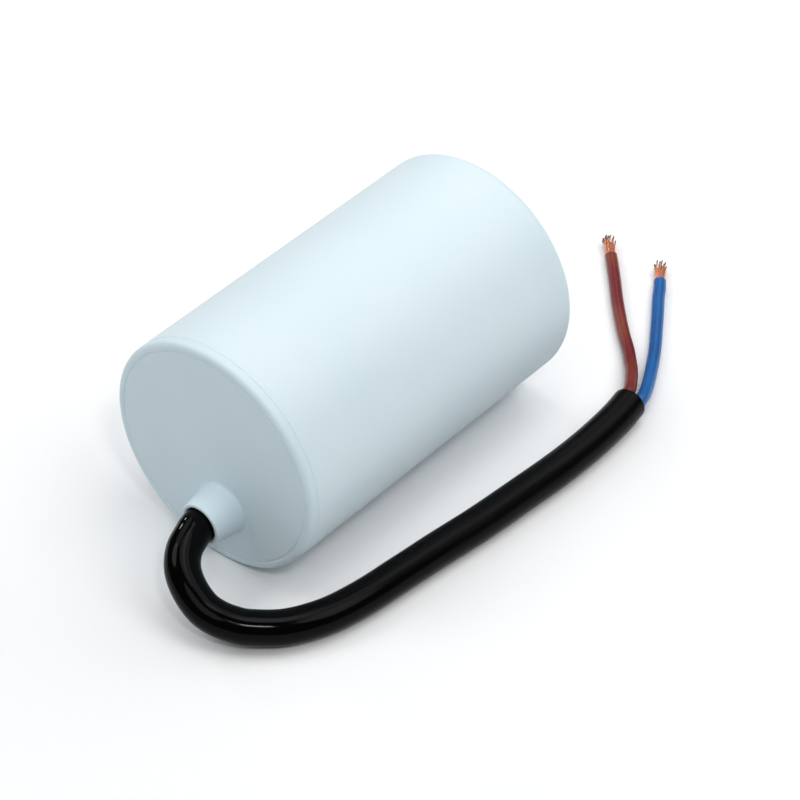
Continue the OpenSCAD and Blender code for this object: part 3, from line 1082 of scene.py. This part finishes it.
@dataclass
class Lid:
    """The lid with its groove, spigot and cable boss, as one moulding."""

    segments: int = 256
    boss_segments: int = 128
    flange: float = 0.002
    face_round: float = 0.001
    groove_inset: float = 0.0017
    groove_width: float = 0.0004
    groove_depth: float = 0.00014
    groove_soft: float = 0.00009
    spigot_wall: float = 0.0013
    spigot_radius: float = 0.0209
    seam_bevel: float = 0.00015
    boss_y: float = -0.002
    boss_z: float = 0.0123
    boss_length: float = 0.006
    boss_radius: float = 0.0051
    mouth_radius: float = 0.0041
    mouth_round: float = 0.0003
    fillet: float = 0.0005
    bore: float = 0.0034
    bore_bevel: float = 0.0002

    def rim_profile(self, face: float, back: float, radius: float) -> Profile:
        """Draw the lid's half section outside its face.

        Args:
            face: Station of the face.
            back: Station of the spigot's end.
            radius: The lid's radius.

        Returns:
            Its points, from the groove round the rim to behind the flange.
        """
        seam = face + self.flange
        middle = radius - self.groove_inset
        inner, outer = middle - self.groove_width / 2, middle + self.groove_width / 2
        soft, floor = self.groove_soft, face + self.groove_depth
        spigot_bore = self.spigot_radius - self.spigot_wall
        return supported([
            (face, inner - soft), (floor - soft / 3, inner), (floor, inner + soft),
            (floor, outer - soft), (floor - soft / 3, outer), (face, outer + soft),
            *arc((face + self.face_round, radius - self.face_round), self.face_round,
                 180, 90),
            (seam - self.seam_bevel, radius), (seam, radius - self.seam_bevel),
            (seam, self.spigot_radius), (back, self.spigot_radius),
            (back, spigot_bore), (seam, spigot_bore)], margin=0.04 * MM, least=0.4 * MM)

    def boss_profile(self, face: float) -> Profile:
        """Draw the boss's half section.

        Args:
            face: Station of the lid's face.

        Returns:
            Its points, from the foot over the mouth and down the bore.
        """
        slope = math.atan((self.boss_radius - self.mouth_radius) / self.boss_length)
        turn = math.degrees(slope)
        mouth = face - self.boss_length
        foot = (face - self.fillet, self.boss_radius
                + self.fillet * (1 / math.cos(slope) - math.tan(slope)))
        top = (mouth + self.mouth_round, self.mouth_radius
               + self.mouth_round * (math.tan(slope) - 1 / math.cos(slope)))
        return supported([
            *arc(foot, self.fillet, 0, -90 + turn, 6),
            *arc(top, self.mouth_round, 90 + turn, 180),
            (mouth, self.bore + self.bore_bevel), (mouth + self.bore_bevel, self.bore),
            (face + self.flange, self.bore)])

    def build(self) -> None:
        """Make the lid."""
        low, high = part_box("lid")
        face, axis = low.x + self.boss_length, high.z / 2
        bm = bmesh.new()
        front, rear = self._revolve(
            bm, self.rim_profile(face, high.x, axis), 0.0, axis, self.segments)
        foot, bore = self._revolve(
            bm, self.boss_profile(face), self.boss_y, self.boss_z, self.boss_segments)
        for outer, inner in ((front, foot), (rear, bore)):
            bmesh.ops.triangle_fill(bm, edges=outer + inner, use_beauty=True,
                                    use_dissolve=False)
        mesh = to_mesh(bm, "lid_and_boss")
        close_up(mesh)
        add_piece(link("lid_and_boss", mesh), "lid", "lid_plastic", Look.LID.material)

    @staticmethod
    def _revolve(bm: BMesh, profile: Profile, y: float, z: float,
                 segments: int) -> tuple[Edges, Edges]:
        """Turn a profile about a line along X.

        Args:
            bm: Mesh that gets the faces.
            profile: The profile.
            y: Y of the line.
            z: Z of the line.
            segments: Number of steps round it.

        Returns:
            The edges of the first and of the last ring.
        """
        rings = [[bm.verts.new((x, y + r * math.cos(math.tau * k / segments),
                                z + r * math.sin(math.tau * k / segments)))
                  for k in range(segments)] for x, r in profile]
        for low, high in zip(rings, rings[1:]):
            for k in range(segments):
                j = (k + 1) % segments
                bm.faces.new((low[k], low[j], high[j], high[k]))
        return tuple([bm.edges.get((ring[k], ring[(k + 1) % segments]))
                      for k in range(segments)] for ring in (rings[0], rings[-1]))


class Inside:
    """The sealed pieces, kept as they are in the frame and given their materials."""

    LOOKS: dict[str, Look] = {
        "potting_resin": Look.RESIN, "film_roll": Look.FILM, "winding_core": Look.CORE,
        "end_spray_near": Look.ZINC, "end_spray_far": Look.ZINC,
        "brown_inner_lead": Look.BROWN, "blue_inner_lead": Look.BLUE,
        "brown_bare_end": Look.BARE, "blue_bare_end": Look.BARE,
        "solder_joint_brown": Look.SOLDER, "solder_joint_blue": Look.SOLDER}

    def build(self) -> None:
        """Give each sealed piece its material."""
        for name, look in self.LOOKS.items():
            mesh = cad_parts[name].data
            mesh.materials.clear()
            mesh.materials.append(look.material)
            LOG.info("%s: %s", name, look.name)


# ---- Studio ----

@dataclass
class Camera:
    """The camera, looking down on the can from its lid's side."""

    place: Point = (-0.34359, -0.30771, 0.41352)
    yaw: float = -0.864
    pitch: float = 0.71376
    lens: float = 154.66
    sensor: float = 36.0

    def build(self) -> None:
        """Make the camera and set it as the scene's."""
        back = Vector((math.sin(self.yaw) * math.cos(self.pitch),
                       -math.cos(self.yaw) * math.cos(self.pitch), math.sin(self.pitch)))
        right = Vector((math.cos(self.yaw), math.sin(self.yaw), 0.0))
        up = back.cross(right)
        data = bpy.data.cameras.new("camera")
        data.lens, data.sensor_width, data.sensor_fit = self.lens, self.sensor, "HORIZONTAL"
        data.clip_start, data.clip_end = 0.01, 20.0
        camera = link("camera", data)
        camera.matrix_world = Matrix.Translation(self.place) @ Matrix(
            (right, up, back)).transposed().to_4x4()
        bpy.context.scene.camera = camera
        LOG.info("camera: %.1f mm", self.lens)


@dataclass(frozen=True)
class SoftBox:
    """A round soft light aimed at the object, its direction in degrees from the object."""

    name: str
    azimuth: float
    elevation: float
    size: float
    energy: float
    distance: float = 1.3

    def build(self) -> None:
        """Hang the light."""
        data = bpy.data.lights.new(self.name, "AREA")
        data.shape, data.size, data.energy = "DISK", self.size, self.energy
        light = link(self.name, data)
        turn, rise = math.radians(self.azimuth), math.radians(self.elevation)
        place = self.distance * Vector((math.cos(rise) * math.cos(turn),
                                        math.cos(rise) * math.sin(turn), math.sin(rise)))
        light.matrix_world = Matrix.Translation(place) @ (
            place.to_track_quat("Z", "Y").to_matrix().to_4x4())


@dataclass
class Studio:
    """Plain pale floor, faint even surroundings and soft lights on all sides.

    The floor is a little darker to the light that it throws back on the object.
    """

    floor: Colour = (0.985, 0.987, 0.990)
    thrown_back: Colour = (0.905, 0.91, 0.92)
    floor_size: float = 6.0
    surroundings: float = 0.08
    lights: tuple[SoftBox, ...] = (
        SoftBox("overhead", 0.0, 89.9, 0.7, 2.15),
        SoftBox("above_cable", -32.0, 70.0, 0.9, 3.3),
        SoftBox("past_the_end", -20.0, 42.0, 0.25, 0.25, 0.42),
        SoftBox("behind_the_end", 25.0, 45.0, 0.25, 0.18, 0.42),
        SoftBox("over_camera", -78.0, 50.0, 0.7, 2.85),
        SoftBox("before_the_lid", -160.0, 50.0, 0.7, 2.1),
        SoftBox("behind", 90.0, 55.0, 0.7, 1.8),
        SoftBox("behind_the_lid", 124.0, 46.0, 0.6, 2.9),
        SoftBox("glint_at_the_bend", -125.0, 52.0, 0.15, 2.2),
        SoftBox("glint_at_the_boss", 80.0, 25.0, 0.1, 1.2))

    def build(self) -> None:
        """Make the floor and the lights."""
        bm = bmesh.new()
        bmesh.ops.create_grid(bm, x_segments=4, y_segments=4, size=self.floor_size)
        mesh = to_mesh(bm, "floor")
        g = ShaderGraph("floor")
        rays = g.add("ShaderNodeLightPath")
        mirrored = g.math("MAXIMUM", rays.outputs["Is Glossy Ray"],
                          rays.outputs["Is Transmission Ray"])
        shown = g.math("MAXIMUM", rays.outputs["Is Camera Ray"], mirrored)
        mesh.materials.append(g.finish(
            Base_Color=g.mix(shown, self.thrown_back, self.floor), Roughness=0.9,
            Specular_IOR_Level=0.1))
        floor = link("floor", mesh)
        self._surround()
        for light in self.lights:
            light.build()
        bpy.context.scene.view_settings.view_transform = "Standard"

    def _surround(self) -> None:
        """Light the scene faintly from all sides."""
        world = bpy.data.worlds.new("surroundings")
        world.use_nodes = True
        graph = NodeGraph(world.node_tree)
        light = graph.add("ShaderNodeBackground", {
            "Color": (1.0, 1.0, 1.0, 1.0), "Strength": self.surroundings})
        graph.add("ShaderNodeOutputWorld", {0: light.outputs[0]})
        bpy.context.scene.world = world


def main() -> None:
    """Build the scene."""
    logging.basicConfig(level=logging.INFO, format="%(name)s: %(message)s")
    Camera().build()
    Cable().build()
    Can().build()
    Lid().build()
    Inside().build()
    Studio().build()
    bpy.context.view_layer.update()


if __name__ == "__main__":
    main()
